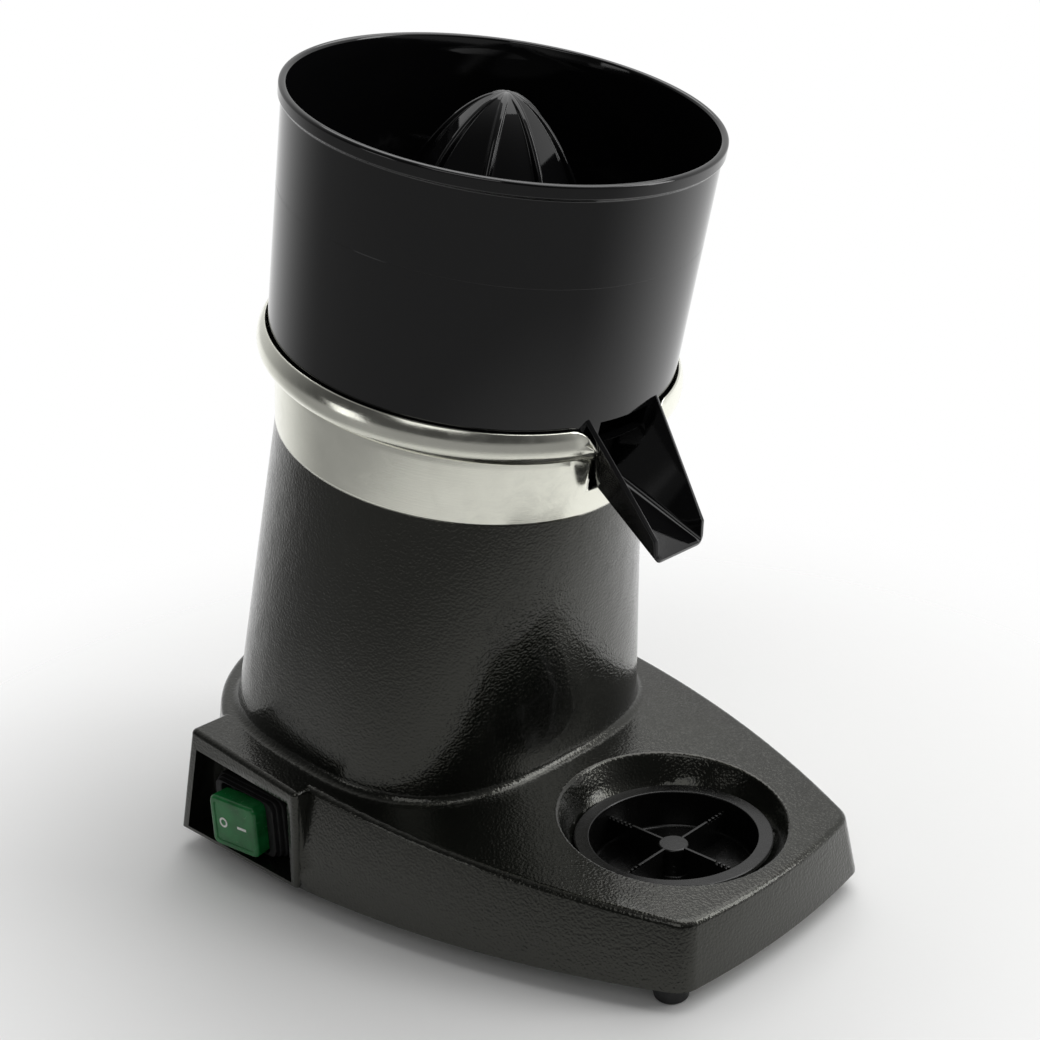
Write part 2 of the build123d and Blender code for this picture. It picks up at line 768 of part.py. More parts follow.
save("upper_motor_bracket", axis * bracket(-top_plate, stator_top))
save("lower_motor_bracket", axis * bracket(motor_low, stator_low))
stator = ring(motor_r, stator_bore_r, stator_low, stator_top)
for place in ties:
    stator = stator - place * rod(screw_r + bolt_gap, stator_low, stator_top)
save("stator_core", axis * stator)
upper_turns = ring(winding_outer_r, winding_inner_r, stator_top, stator_top + winding_height)
lower_turns = ring(winding_outer_r, winding_inner_r, stator_low - winding_height, stator_low)
save("stator_windings", axis * upper_turns, axis * lower_turns)
bearing_high = -top_plate - shoulder
bearing_low = motor_low + shoulder
bearing = ring(bearing_r, shaft_r + run_gap, 0, bearing_width)
save("upper_bearing", axis * Pos(0, 0, bearing_high - bearing_width) * bearing)
save("lower_bearing", axis * Pos(0, 0, bearing_low) * bearing)
tie = screw(motor_low, tie_end, motor_low - tie_head_height, motor_low)
save("motor_tie_bolts", *[axis * place * tie for place in ties])
save("shaft_seal", axis * ring(seal_r, shaft_r + run_gap, -top_plate, 0))

# Drip cup: lipped cup with a post and four notched ribs, hung in the recess
cup_low_z = cup_lip_top_z - cup_height
cup_floor_top = cup_low_z + cup_floor
cup = turned(
    (0, cup_low_z),
    (cup_wall_r, cup_low_z),
    (cup_wall_r, cup_lip_top_z - cup_lip_thick),
    (cup_lip_r, cup_lip_top_z - cup_lip_thick),
    (cup_lip_r, cup_lip_top_z),
    (cup_inner_r, cup_lip_top_z),
    (cup_inner_r, cup_floor_top),
    (0, cup_floor_top),
)
rib_top_z = cup_lip_top_z - cup_rib_drop
cup = cup + rod(cup_post_r, cup_low_z, rib_top_z)
for turn in range(4):
    rib_bar = block((0, -cup_rib_thick / 2, cup_low_z), (cup_inner_r + overlap, cup_rib_thick / 2, rib_top_z))
    for notch in range(cup_notch_count):
        notch_x = cup_inner_r - (2 * notch + 2) * cup_notch_size
        rib_bar = rib_bar - block(
            (notch_x, -cup_rib_thick, rib_top_z - cup_notch_size),
            (notch_x + cup_notch_size, cup_rib_thick, rib_top_z + overlap),
        )
    cup = cup + Rot(0, 0, 90 * turn) * rib_bar
save("drip_cup", Pos(0, cup_y, 0) * cup)

# Bottom plate with holes for the feet and the screws
plate_low_z = foot_height + seat_gap
plate_section = base_section(plate_top_z - foot_height, wall + seat_gap)
plate = extrude(plate_section, plate_thick, dir=(0, 0, -1))
plate = plate - block(
    (face_x, shroud_front_y - wall / 2 - seat_gap, 0),
    (switch_box_x + seat_gap, shroud_rear_y + wall / 2 + seat_gap, column_top_z),
)
for x, y in feet:
    plate = plate - Pos(x, y, 0) * rod(foot_stem_r + seat_gap, plate_low_z, plate_top_z)
for x, y in plate_screws:
    plate = plate - Pos(x, y, 0) * rod(screw_r + seat_gap, plate_low_z, plate_top_z)
save("bottom_plate", plate)
plate_screw = screw(plate_low_z, screw_top_z, plate_low_z - screw_head_height, plate_low_z)
save("bottom_plate_screws", *[Pos(x, y, 0) * plate_screw for x, y in plate_screws])

# Rubber feet with a stem through the plate and a sunk screw
foot_seat_z = foot_height / 2
foot = turned(
    (0, 0),
    (foot_tip_r - foot_chamfer, 0),
    (foot_tip_r, foot_chamfer),
    (foot_top_r, foot_height),
    (foot_stem_r, foot_height),
    (foot_stem_r, plate_top_z),
    (0, plate_top_z),
)
foot = foot - rod(screw_head_r + seat_gap, 0, foot_seat_z) - rod(screw_r + bolt_gap, foot_seat_z, plate_top_z)
foot_screw = screw(foot_seat_z, screw_top_z, foot_seat_z - screw_head_height, foot_seat_z)
save("rubber_feet", *[Pos(x, y, 0) * foot for x, y in feet])
save("foot_screws", *[Pos(x, y, 0) * foot_screw for x, y in feet])


def side_block(low_x, high_x, length, height):
    """Block centred on the switch, between two planes across x."""
    low = (low_x, switch_y - length / 2, switch_z - height / 2)
    high = (high_x, switch_y + length / 2, switch_z + height / 2)
    return block(low, high)


# Switch body behind the recess, with a cavity and a pin for the rocker
flange_x = switch_floor_x - flange_thick
pivot_x = switch_floor_x + rocker_pivot_depth
cavity_x = pivot_x + rocker_stem_depth - rocker_pivot_depth + rocker_room
cavity_length = rocker_stem_length + 2 * rocker_room
cavity_height = rocker_stem_height + 2 * rocker_room
flange_length = switch_length + 2 * flange_margin
flange_height = switch_height + 2 * flange_margin
switch = side_block(switch_floor_x, switch_floor_x + switch_depth, switch_length, switch_height)
switch = switch + side_block(flange_x, switch_floor_x, flange_length, flange_height)
switch = switch - side_block(flange_x, cavity_x, cavity_length, cavity_height)
pivot_place = Pos(pivot_x, switch_y, switch_z)
pivot_half = switch_height / 2 - seat_gap
switch = switch - pivot_place * rod(rocker_pin_r + bolt_gap, -pivot_half, pivot_half)
save("switch_body", switch)
save("switch_pivot", pivot_place * rod(rocker_pin_r, -pivot_half, pivot_half))

# Stepped rubber bezel round the rocker
bezel_face_x = switch_floor_x - bezel_step_count * bezel_step
bezel = side_block(switch_floor_x - bezel_step, switch_floor_x, bezel_length, bezel_height)
for step in range(1, bezel_step_count):
    bezel = bezel + side_block(
        switch_floor_x - (step + 1) * bezel_step,
        switch_floor_x - step * bezel_step,
        bezel_length - 2 * step * bezel_setback_length,
        bezel_height - 2 * step * bezel_setback_height,
    )
bezel = bezel - side_block(flange_x, switch_floor_x, flange_length + seat_gap, flange_height + seat_gap)
bezel = bezel - side_block(
    bezel_face_x, flange_x, cap_length + 2 * cap_end_gap, cap_height + 2 * cap_side_gap
)
save("switch_bezel", bezel)

# Rocker: rounded cap on a stem that turns on the pivot; at rest its front end is pressed in
cap_low_x = flange_x - cap_lift
cap = side_block(cap_low_x - cap_reach, cap_low_x, cap_length, cap_height)
cap = fillet(cap.edges().filter_by(Axis.X), cap_edge_radius)
cap = fillet(cap.faces().sort_by(Axis.X)[0].edges(), cap_edge_radius / 2)
stem_end_x = pivot_x + rocker_stem_depth - rocker_pivot_depth
rocker = cap + side_block(cap_low_x - overlap, stem_end_x, rocker_stem_length, rocker_stem_height)
rocker = rocker - pivot_place * rod(rocker_pin_r + run_gap, -switch_height, switch_height)
rocker = pivot_place * Rot(0, 0, rocker_angle) * pivot_place.inverse() * rocker
save("switch_rocker", rocker)

# Run capacitor in its clip, and the terminal block, on the bottom plate
clip_r = capacitor_r + bolt_gap + clip_thick
capacitor_z = plate_top_z + clip_stand + clip_r
capacitor_y = rear_y - capacitor_inset
capacitor_place = Pos(capacitor_x, capacitor_y, capacitor_z) * Rot(0, 90, 0)
save("run_capacitor", capacitor_place * rod(capacitor_r, -capacitor_length / 2, capacitor_length / 2))
strap = capacitor_place * ring(clip_r, capacitor_r + bolt_gap, -clip_width / 2, clip_width / 2)
pad = block(
    (capacitor_x - clip_width / 2, capacitor_y - capacitor_r / 2, plate_top_z),
    (capacitor_x + clip_width / 2, capacitor_y + capacitor_r / 2, capacitor_z),
)
pad = pad - capacitor_place * rod(clip_r - clip_thick / 2, -clip_width, clip_width)
save("capacitor_clip", strap + pad)
terminal_y = column_foot_y - terminal_forward
terminals = block(
    (terminal_x - terminal_length / 2, terminal_y - terminal_width / 2, plate_top_z),
    (terminal_x + terminal_length / 2, terminal_y + terminal_width / 2, plate_top_z + terminal_height),
)
pitch = terminal_length / terminal_count
for i in range(terminal_count):
    terminal = Pos(terminal_x - terminal_length / 2 + (i + 0.5) * pitch, terminal_y, plate_top_z)
    terminals = terminals - terminal * rod(pitch / 4, terminal_height / 2, terminal_height)
save("terminal_block", terminals)

# Cable gland through the rear wall, and its nut inside
nose_start = gland_seat_y + gland_flange
gland = turned(
    (gland_bore_r, gland_seat_y - gland_thread),
    (gland_thread_r, gland_seat_y - gland_thread),
    (gland_thread_r, gland_seat_y),
    (gland_flange_r, gland_seat_y),
    (gland_flange_r, nose_start),
    (gland_nose_r, nose_start),
    (gland_nose_r - gland_nose_taper, nose_start + gland_nose),
    (gland_bore_r, nose_start + gland_nose),
)
save("cable_gland", gland_place * gland)
hexagon = RegularPolygon(gland_nut_flats / 2, 6, major_radius=False)
nut = Pos(0, 0, gland_boss_low - gland_nut) * extrude(hexagon, gland_nut)
nut = nut - rod(gland_thread_r + bolt_gap, gland_boss_low - gland_nut, gland_boss_low)
save("gland_nut", gland_place * nut)
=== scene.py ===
import json
import math

import bmesh
import bpy
from mathutils import Matrix, Vector


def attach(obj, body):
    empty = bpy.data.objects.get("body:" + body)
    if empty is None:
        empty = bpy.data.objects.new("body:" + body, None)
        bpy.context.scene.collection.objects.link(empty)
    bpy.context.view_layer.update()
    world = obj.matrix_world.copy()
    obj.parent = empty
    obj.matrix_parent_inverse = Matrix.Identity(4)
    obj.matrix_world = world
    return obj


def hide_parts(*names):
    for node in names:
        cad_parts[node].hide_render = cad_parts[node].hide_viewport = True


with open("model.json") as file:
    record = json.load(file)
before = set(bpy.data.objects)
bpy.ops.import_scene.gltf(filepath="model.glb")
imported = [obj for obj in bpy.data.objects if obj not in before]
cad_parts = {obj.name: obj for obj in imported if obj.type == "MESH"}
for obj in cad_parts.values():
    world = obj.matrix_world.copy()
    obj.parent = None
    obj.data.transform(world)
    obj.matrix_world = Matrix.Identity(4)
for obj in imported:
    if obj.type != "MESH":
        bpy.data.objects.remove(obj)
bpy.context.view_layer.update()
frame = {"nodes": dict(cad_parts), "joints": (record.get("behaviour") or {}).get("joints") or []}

# Bottom plate and the screws under the machine: a pressed cover of zinc-plated steel that closes the casting.
# Four pan-head screws hold the cover, and four longer ones go up through the rubber feet.
scuff_fineness = 3.7
tone_range = (0.3, 0.7)


def settle(node, values):
    """Sets a node's sockets from a table of socket names and values."""
    for socket, value in values.items():
        node.inputs[socket].default_value = value
    return node


def surface_group():
    """Node group with the marks that handling leaves: broad patches, scuffs and a fine grain."""
    group = bpy.data.node_groups.new("surface_marks", "ShaderNodeTree")
    for socket, default in (("Patch Scale", 20.0), ("Grain Scale", 900.0)):
        made = group.interface.new_socket(socket, in_out="INPUT", socket_type="NodeSocketFloat")
        made.default_value = default
    for socket in ("Patches", "Scuffs", "Grain"):
        group.interface.new_socket(socket, in_out="OUTPUT", socket_type="NodeSocketFloat")
    nodes, links = group.nodes, group.links
    given = nodes.new("NodeGroupInput")
    result = nodes.new("NodeGroupOutput")
    place = nodes.new("ShaderNodeTexCoord")
    patches = settle(nodes.new("ShaderNodeTexNoise"), {"Detail": 5.0, "Roughness": 0.6})
    scuffs = settle(nodes.new("ShaderNodeTexNoise"), {"Detail": 8.0, "Roughness": 0.7, "Distortion": 1.2})
    finer = nodes.new("ShaderNodeMath")
    finer.operation = "MULTIPLY"
    finer.inputs[1].default_value = scuff_fineness
    spread = settle(nodes.new("ShaderNodeMapRange"), {"From Min": 0.35, "From Max": 0.7})
    grain = settle(nodes.new("ShaderNodeTexNoise"), {"Detail": 2.0})
    for texture in (patches, scuffs, grain):
        links.new(place.outputs["Object"], texture.inputs["Vector"])
    links.new(given.outputs["Patch Scale"], patches.inputs["Scale"])
    links.new(given.outputs["Patch Scale"], finer.inputs[0])
    links.new(finer.outputs["Value"], scuffs.inputs["Scale"])
    links.new(given.outputs["Grain Scale"], grain.inputs["Scale"])
    links.new(scuffs.outputs["Fac"], spread.inputs["Value"])
    links.new(patches.outputs["Fac"], result.inputs["Patches"])
    links.new(spread.outputs["Result"], result.inputs["Scuffs"])
    links.new(grain.outputs["Fac"], result.inputs["Grain"])
    return group


surface_marks = surface_group()


def paint(red, green, blue):
    """Linear colour from the 8-bit values of a colour chart."""
    shares = [value / 255 for value in (red, green, blue)]
    linear = [((share + 0.055) / 1.055) ** 2.4 if share > 0.04 else share / 12.92 for share in shares]
    return (*linear, 1.0)


def finish(name, dark, light, gloss, matt, patch, grain, relief, plain):
    """Material whose colour and roughness follow the surface marks, with a fine raised grain."""
    material = bpy.data.materials.new(name)
    material.use_nodes = True
    nodes, links = material.node_tree.nodes, material.node_tree.links
    shader = settle(nodes["Principled BSDF"], plain)
    marks = nodes.new("ShaderNodeGroup")
    marks.node_tree = surface_marks
    settle(marks, {"Patch Scale": patch, "Grain Scale": grain})
    tone = nodes.new("ShaderNodeValToRGB")
    for stop, position, colour in zip(tone.color_ramp.elements, tone_range, (dark, light)):
        stop.position = position
        stop.color = colour
    polish = settle(nodes.new("ShaderNodeMapRange"), {"To Min": gloss, "To Max": matt})
    raised = settle(nodes.new("ShaderNodeBump"), {"Distance": relief})
    links.new(marks.outputs["Patches"], tone.inputs["Fac"])
    links.new(tone.outputs["Color"], shader.inputs["Base Color"])
    links.new(marks.outputs["Scuffs"], polish.inputs["Value"])
    links.new(polish.outputs["Result"], shader.inputs["Roughness"])
    links.new(marks.outputs["Grain"], raised.inputs["Height"])
    links.new(raised.outputs["Normal"], shader.inputs["Normal"])
    return material


def dress(material, *nodes):
    """Gives CAD nodes that stay as they are a finish."""
    for node in nodes:
        for slot in frame["nodes"][node].material_slots:
            slot.material = material


plated_steel = finish(
    "plated_steel", paint(150, 152, 150), paint(196, 197, 193),
    gloss=0.22, matt=0.42, patch=45, grain=2600, relief=0.00002, plain={"Metallic": 1.0},
)
dress(plated_steel, "bottom_plate", "bottom_plate_screws", "foot_screws")

# Feet: four moulded rubber buttons, slightly tapered, each with a rounded tread and a well for its screw.
# They are pushed against the bottom plate and held by the foot screws.
foot_tread_r = 6.8
foot_tread_round = 1.3
foot_top_r = 8.0
foot_height = 9.0
foot_shoulder = 1.2
foot_shoulder_round = 0.6
foot_well_r = 4.3
foot_well_depth = 3.4
foot_well_round = 0.4
foot_hole_r = 2.3
foot_steps = 64
front_foot = (52.42, -135.5)
rear_foot = (72.0, 105.0)
round_segments = 4
merge_distance = 0.0005
flat_face_weight = 90
millimetres = Matrix.Scale(0.001, 4)


def turned(bm, profile, steps):
    """Turns a closed outline of (radius, height, corner rounding) points about the upright axis."""
    old_faces = set(bm.faces)
    corners = [bm.verts.new((radius, 0, height)) for radius, height, rounding in profile]
    bm.faces.new(corners)
    for size in sorted({rounding for radius, height, rounding in profile if rounding}):
        group = [vert for vert, point in zip(corners, profile) if point[2] == size]
        bmesh.ops.bevel(
            bm, geom=group, affect="VERTICES", offset=size, segments=round_segments, profile=0.5, material=-1
        )
    section = [face for face in bm.faces if face not in old_faces]
    edges = list(dict.fromkeys(edge for face in section for edge in face.edges))
    verts = list(dict.fromkeys(vert for edge in edges for vert in edge.verts))
    bmesh.ops.delete(bm, geom=section, context="FACES_ONLY")
    bmesh.ops.spin(
        bm, geom=verts + edges, cent=(0, 0, 0), axis=(0, 0, 1), angle=math.tau, steps=steps, use_merge=True
    )
    bmesh.ops.remove_doubles(bm, verts=bm.verts, dist=merge_distance)
    loose = [edge for edge in bm.edges if not edge.link_faces]
    bmesh.ops.delete(bm, geom=loose, context="EDGES")
    bmesh.ops.recalc_face_normals(bm, faces=bm.faces)


def join(bm, part):
    """Moves a part's mesh into another mesh and returns the vertices that came in."""
    old = set(bm.verts)
    carrier = bpy.data.meshes.new("carrier")
    part.to_mesh(carrier)
    part.free()
    bm.from_mesh(carrier)
    bpy.data.meshes.remove(carrier)
    return [vert for vert in bm.verts if vert not in old]


def piece(name, bm, place, material, sharp=32, even=True):
    """Object from a bmesh, with its place in its mesh and edges sharp above an angle in degrees."""
    bmesh.ops.transform(bm, matrix=place, verts=bm.verts)
    bm.normal_update()
    mesh = bpy.data.meshes.new(name)
    bm.to_mesh(mesh)
    bm.free()
    mesh.shade_smooth()
    mesh.set_sharp_from_angle(angle=math.radians(sharp))
    mesh.materials.append(material)
    made = bpy.data.objects.new(name, mesh)
    bpy.context.scene.collection.objects.link(made)
    if even:
        weighted = made.modifiers.new("even_shading", "WEIGHTED_NORMAL")
        weighted.keep_sharp = True
        weighted.weight = flat_face_weight
    return made


black_rubber = finish(
    "black_rubber", paint(17, 17, 18), paint(29, 29, 30),
    gloss=0.5, matt=0.72, patch=60, grain=3000, relief=0.00004, plain={"Specular IOR Level": 0.4},
)
foot_outline = [
    (foot_well_r, 0, foot_well_round),
    (foot_tread_r, 0, foot_tread_round),
    (foot_top_r, foot_height - foot_shoulder, foot_shoulder_round),
    (foot_top_r, foot_height, 0),
    (foot_hole_r, foot_height, 0),
    (foot_hole_r, foot_well_depth, 0),
    (foot_well_r, foot_well_depth, 0),
]
feet_mesh = bmesh.new()
for x, y in (front_foot, rear_foot):
    for side in (-1, 1):
        foot = bmesh.new()
        turned(foot, foot_outline, foot_steps)
        bmesh.ops.translate(foot, vec=(side * x, y, 0), verts=foot.verts)
        join(feet_mesh, foot)
feet = piece("rubber_feet_moulded", feet_mesh, millimetres, black_rubber)
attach(feet, "housing")
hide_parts("rubber_feet")

# Body: one aluminium casting of base, leaning column and switch shroud, with a thick black stoved coat.
# The coat is glossy and finely dimpled, like hammered metal.
dimple_scale = 860.0
dimple_depth = 0.00022
copy_merge_distance = 0.000002
hammered_black = finish(
    "hammered_black_coat", paint(13, 14, 12), paint(19, 20, 17),
    gloss=0.12, matt=0.22, patch=14, grain=1700, relief=0.00002,
    plain={"Coat Weight": 0.3, "Coat Roughness": 0.06, "IOR": 1.5, "Specular Tint": (1.0, 1.0, 0.88, 1.0)},
)


def lay_relief(material, texture, depth):
    """Lays a texture's relief under the relief that a material already has."""
    nodes, links = material.node_tree.nodes, material.node_tree.links
    shader = nodes["Principled BSDF"]
    relief = settle(nodes.new("ShaderNodeBump"), {"Distance": depth})
    below = shader.inputs["Normal"].links[0].from_socket
    links.new(texture.outputs["Fac"], relief.inputs["Height"])
    links.new(below, relief.inputs["Normal"])
    links.new(relief.outputs["Normal"], shader.inputs["Normal"])


coat_nodes, coat_links = hammered_black.node_tree.nodes, hammered_black.node_tree.links
coat_place = coat_nodes.new("ShaderNodeTexCoord")
dimples = settle(coat_nodes.new("ShaderNodeTexNoise"), {"Scale": dimple_scale, "Detail": 1.0, "Roughness": 0.4})
coat_links.new(coat_place.outputs["Object"], dimples.inputs["Vector"])
lay_relief(hammered_black, dimples, dimple_depth)


def smooth_copy(name, node, material, sharp):
    """Copy of a CAD node with its triangles joined, so that round faces shade as round."""
    bm = bmesh.new()
    bm.from_mesh(frame["nodes"][node].data)
    bmesh.ops.remove_doubles(bm, verts=bm.verts, dist=copy_merge_distance)
    return piece(name, bm, Matrix.Identity(4), material, sharp)


casting = smooth_copy("painted_casting", "body_casting", hammered_black, sharp=24)
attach(casting, "housing")
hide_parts("body_casting")

# Motor and wiring inside: a laminated steel motor with enamelled copper ends between two cast shields, and a
# moulded fan, all bolted under the column's top plate. A foil capacitor in a steel clip and a terminal block
# lie in the base.
laminated_steel = finish(
    "laminated_steel", paint(92, 95, 98), paint(132, 134, 136),
    gloss=0.3, matt=0.55, patch=60, grain=3200, relief=0.00005, plain={"Metallic": 0.9},
)
enamelled_copper = finish(
    "enamelled_copper", paint(120, 52, 24), paint(176, 90, 44),
    gloss=0.25, matt=0.45, patch=90, grain=1400, relief=0.0002, plain={"Metallic": 0.85},
)
cast_shield = finish(
    "cast_shield", paint(128, 130, 132), paint(168, 169, 168),
    gloss=0.4, matt=0.62, patch=40, grain=1500, relief=0.00012, plain={"Metallic": 0.9},
)
dark_moulding = finish(
    "dark_moulding", paint(26, 27, 29), paint(40, 41, 43),
    gloss=0.38, matt=0.58, patch=50, grain=2200, relief=0.00003, plain={"Specular IOR Level": 0.5},
)
pale_moulding = finish(
    "pale_moulding", paint(196, 192, 180), paint(222, 219, 208),
    gloss=0.4, matt=0.6, patch=50, grain=2200, relief=0.00003, plain={},
)
dress(laminated_steel, "stator_core", "rotor_core")
dress(enamelled_copper, "stator_windings")
dress(cast_shield, "upper_motor_bracket", "lower_motor_bracket")
dress(dark_moulding, "cooling_fan", "switch_body", "shaft_slinger")
dress(pale_moulding, "terminal_block", "run_capacitor")
dress(black_rubber, "shaft_seal")
dress(plated_steel, "capacitor_clip", "motor_tie_bolts", "upper_bearing", "lower_bearing", "motor_shaft")
dress(plated_steel, "drive_pin", "collar_screws", "switch_pivot")

# Cable gland at the rear right: a moulded strain relief with a ribbed nose, pushed through the casting's boss
# and held inside by a hexagon nut.
gland = smooth_copy("cable_gland_moulded", "cable_gland", dark_moulding, sharp=30)
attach(gland, "housing")
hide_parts("cable_gland")
dress(dark_moulding, "gland_nut")

# Collar: a spun aluminium band on top of the column, buffed bright, with a rolled bead along its upper edge.
# The bead turns down at both sides of the notch that lets the spout through; four screws hold the floor.
band_foot_r = 79.6
band_top_r = 81.8
band_height = 27.0
collar_height = 45.9
notch_floor = 12.5
notch_floor_half_width = 8.5
notch_top_half_width = 19.6
notch_corner_r = 7.0
bead_out = 8.0
bead_lip_out = 5.4
bead_crest = 7.6
bead_depth = 16.0
bead_roundness = 2.4
bead_fullness = 0.75
return_out = 4.6
return_depth = 6.5
return_fade = 20.0
sheet_thickness = 1.0
collar_floor_r = 78.0
collar_floor_low = 0.2
collar_floor_top = 4.0
collar_floor_steps = 128
collar_hole_r = 12.0
collar_merge_distance = 0.001
notch_columns = 24
side_columns = 150
foot_rows = 12
bead_rows = 48
notch_share = notch_columns / (notch_columns + 2 * side_columns)
foot_share = 2 * foot_rows / (foot_rows + bead_rows) - 1
buffing_scale = (6.0, 6.0, 2600.0)
buffing_depth = 0.00001
upright = Vector((0, 0, 1))
spin_joint = next(joint for joint in frame["joints"] if joint["name"] == "motor_spin")
lean_turn = upright.rotation_difference(Vector(spin_joint["axis"])).to_matrix().to_4x4()
leaning = Matrix.Translation(Vector(spin_joint["pos_m"])) @ lean_turn @ millimetres


def bead_offset(edge_distance):
    """How far the rolled bead stands out at a distance from the collar's free edge."""
    if edge_distance < bead_crest:
        return bead_out - (bead_out - bead_lip_out) * (1 - edge_distance / bead_crest) ** 2
    reach = min((edge_distance - bead_crest) / (bead_depth - bead_crest), 1)
    return bead_out * (1 - reach**bead_roundness) ** bead_fullness


def notch_half_width(station):
    """Half width of the collar's notch, which narrows downwards along the spout."""
    share = min(max((station - notch_floor) / (collar_height - notch_floor), 0), 1)
    return notch_floor_half_width + share * (notch_top_half_width - notch_floor_half_width)


def collar_point(across, up):
    """Point of the collar's outer face for grid places from -1 to 1; the notch faces the front."""
    beyond = max((abs(across) - notch_share) / (1 - notch_share), 0)
    short = max(notch_corner_r - beyond * (math.pi * band_top_r - notch_top_half_width), 0)
    edge_top = collar_height - notch_corner_r + math.sqrt(notch_corner_r**2 - short**2)
    row = (up + 1) / 2 * (foot_rows + bead_rows)
    if row <= foot_rows:
        station = notch_floor * row / foot_rows
    else:
        station = notch_floor + (edge_top - notch_floor) * (row - foot_rows) / bead_rows
    notch_angle = notch_half_width(station) / band_top_r
    if beyond:
        angle = math.copysign(notch_angle + beyond * (math.pi - notch_angle), across)
    else:
        angle = notch_angle * across / notch_share
    drop = collar_height - station
    corner_drop = max(notch_corner_r - drop, 0)
    if short and corner_drop:
        drop = notch_corner_r - math.hypot(short, corner_drop)
    side_distance = abs(angle) * band_top_r - notch_half_width(station)
    fade = min(max((station - notch_floor) / return_fade, 0), 1)
    inward = min(max(side_distance / return_depth, 0), 1)
    fold = return_out * fade * fade * (3 - 2 * fade) * (1 - inward**2) ** 2
    band_r = band_foot_r + (band_top_r - band_foot_r) * min(station / band_height, 1)
    radius = band_r + math.hypot(bead_offset(max(drop, 0)), fold)
    return Vector((radius * math.sin(angle), -radius * math.cos(angle), station))


def face_outwards(bm):
    """Recalculates the normals of an open skin round the axis and turns them outwards."""
    bmesh.ops.recalc_face_normals(bm, faces=bm.faces)
    outward = sum(face.normal.x * face.calc_center_median().x for face in bm.faces)
    if outward < 0:
        bmesh.ops.reverse_faces(bm, faces=bm.faces)


polished_aluminium = finish(
    "polished_aluminium", paint(238, 238, 226), paint(250, 250, 238),
    gloss=0.12, matt=0.26, patch=22, grain=900, relief=0.00001, plain={"Metallic": 1.0},
)
buffed_nodes, buffed_links = polished_aluminium.node_tree.nodes, polished_aluminium.node_tree.links
buffed_place = buffed_nodes.new("ShaderNodeTexCoord")
stand = settle(buffed_nodes.new("ShaderNodeMapping"), {"Rotation": lean_turn.inverted().to_euler()})
stretch = settle(buffed_nodes.new("ShaderNodeMapping"), {"Scale": buffing_scale})
buffing_lines = settle(buffed_nodes.new("ShaderNodeTexNoise"), {"Scale": 1.0, "Detail": 3.0})
buffed_links.new(buffed_place.outputs["Object"], stand.inputs["Vector"])
buffed_links.new(stand.outputs["Vector"], stretch.inputs["Vector"])
buffed_links.new(stretch.outputs["Vector"], buffing_lines.inputs["Vector"])
lay_relief(polished_aluminium, buffing_lines, buffing_depth)
collar_mesh = bmesh.new()
bmesh.ops.create_grid(
    collar_mesh, x_segments=notch_columns + 2 * side_columns, y_segments=foot_rows + bead_rows, size=1
)
in_notch = []
for face in collar_mesh.faces:
    middle = face.calc_center_median()
    if abs(middle.x) < notch_share and middle.y > foot_share:
        in_notch.append(face)
bmesh.ops.delete(collar_mesh, geom=in_notch, context="FACES")
for vert in collar_mesh.verts:
    vert.co = collar_point(vert.co.x, vert.co.y)
bmesh.ops.remove_doubles(collar_mesh, verts=collar_mesh.verts, dist=collar_merge_distance)
face_outwards(collar_mesh)
collar = piece("collar_band", collar_mesh, leaning, polished_aluminium, sharp=40, even=False)
sheet = collar.modifiers.new("sheet", "SOLIDIFY")
sheet.thickness = sheet_thickness / 1000
sheet.offset = -1
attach(collar, "housing")
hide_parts("bowl_collar")
collar_floor_outline = [
    (collar_hole_r, collar_floor_low, 0.3),
    (collar_floor_r, collar_floor_low, 0),
    (collar_floor_r, collar_floor_top, 0),
    (collar_hole_r, collar_floor_top, 0.5),
]
collar_floor_mesh = bmesh.new()
turned(collar_floor_mesh, collar_floor_outline, collar_floor_steps)
collar_floor = piece("collar_floor", collar_floor_mesh, leaning, polished_aluminium)
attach(collar_floor, "housing")

# Bowl: a deep gloss-black moulding that lifts out of the collar, with a thickened rim and a faint mould line.
# Its spout is an open trough at the front, and a chimney in the floor lets the motor's shaft through.
bowl_outline = [
    (76.4, 4.3, 0.8),
    (76.4, 31.0, 1.5),
    (84.4, 36.5, 2.0),
    (85.12, 38.5, 0),
    (85.8, 47.0, 0),
    (86.54, 105.0, 0),
    (86.47, 105.2, 0),
    (86.55, 105.4, 0),
    (87.0, 139.6, 0.6),
    (88.3, 140.6, 0.5),
    (88.3, 145.6, 1.2),
    (85.3, 145.6, 1.1),
    (84.4, 139.6, 2.0),
    (83.2, 47.0, 0),
    (81.8, 38.5, 0),
    (76.4, 34.6, 3.0),
    (13.0, 34.6, 2.0),
    (13.0, 62.0, 0.8),
    (9.5, 62.0, 0.4),
    (9.5, 32.0, 0),
    (73.4, 32.0, 0),
    (73.4, 4.3, 0.8),
]
bowl_steps = 192
window_low = 38.5
window_high = 47.0
window_half_angle = 5 * math.tau / bowl_steps
window_least_r = 80.0
spout_keel = (5.6, 74.0, 16.5)
spout_crest = (22.2, 80.6, 51.0)
spout_lip_foot = (14.8, 123.8, 2.5)
spout_lip_top = (15.4, 121.8, 12.1)
spout_wall = 2.2
spout_fold_r = 3.4
spout_fold_segments = 5
spout_edge_r = 0.45
spout_edge_segments = 3
spout_edge_angle = math.radians(50)
spout_rows = 12
spout_row_length = 20.0
spout_middle = 1.0
bowl_mesh = bmesh.new()
turned(bowl_mesh, bowl_outline, bowl_steps)
window = []
for face in bowl_mesh.faces:
    middle = face.calc_center_median()
    turn = math.atan2(middle.x, -middle.y)
    in_height = window_low < middle.z < window_high
    if abs(turn) < window_half_angle and in_height and math.hypot(middle.x, middle.y) > window_least_r:
        window.append(face)
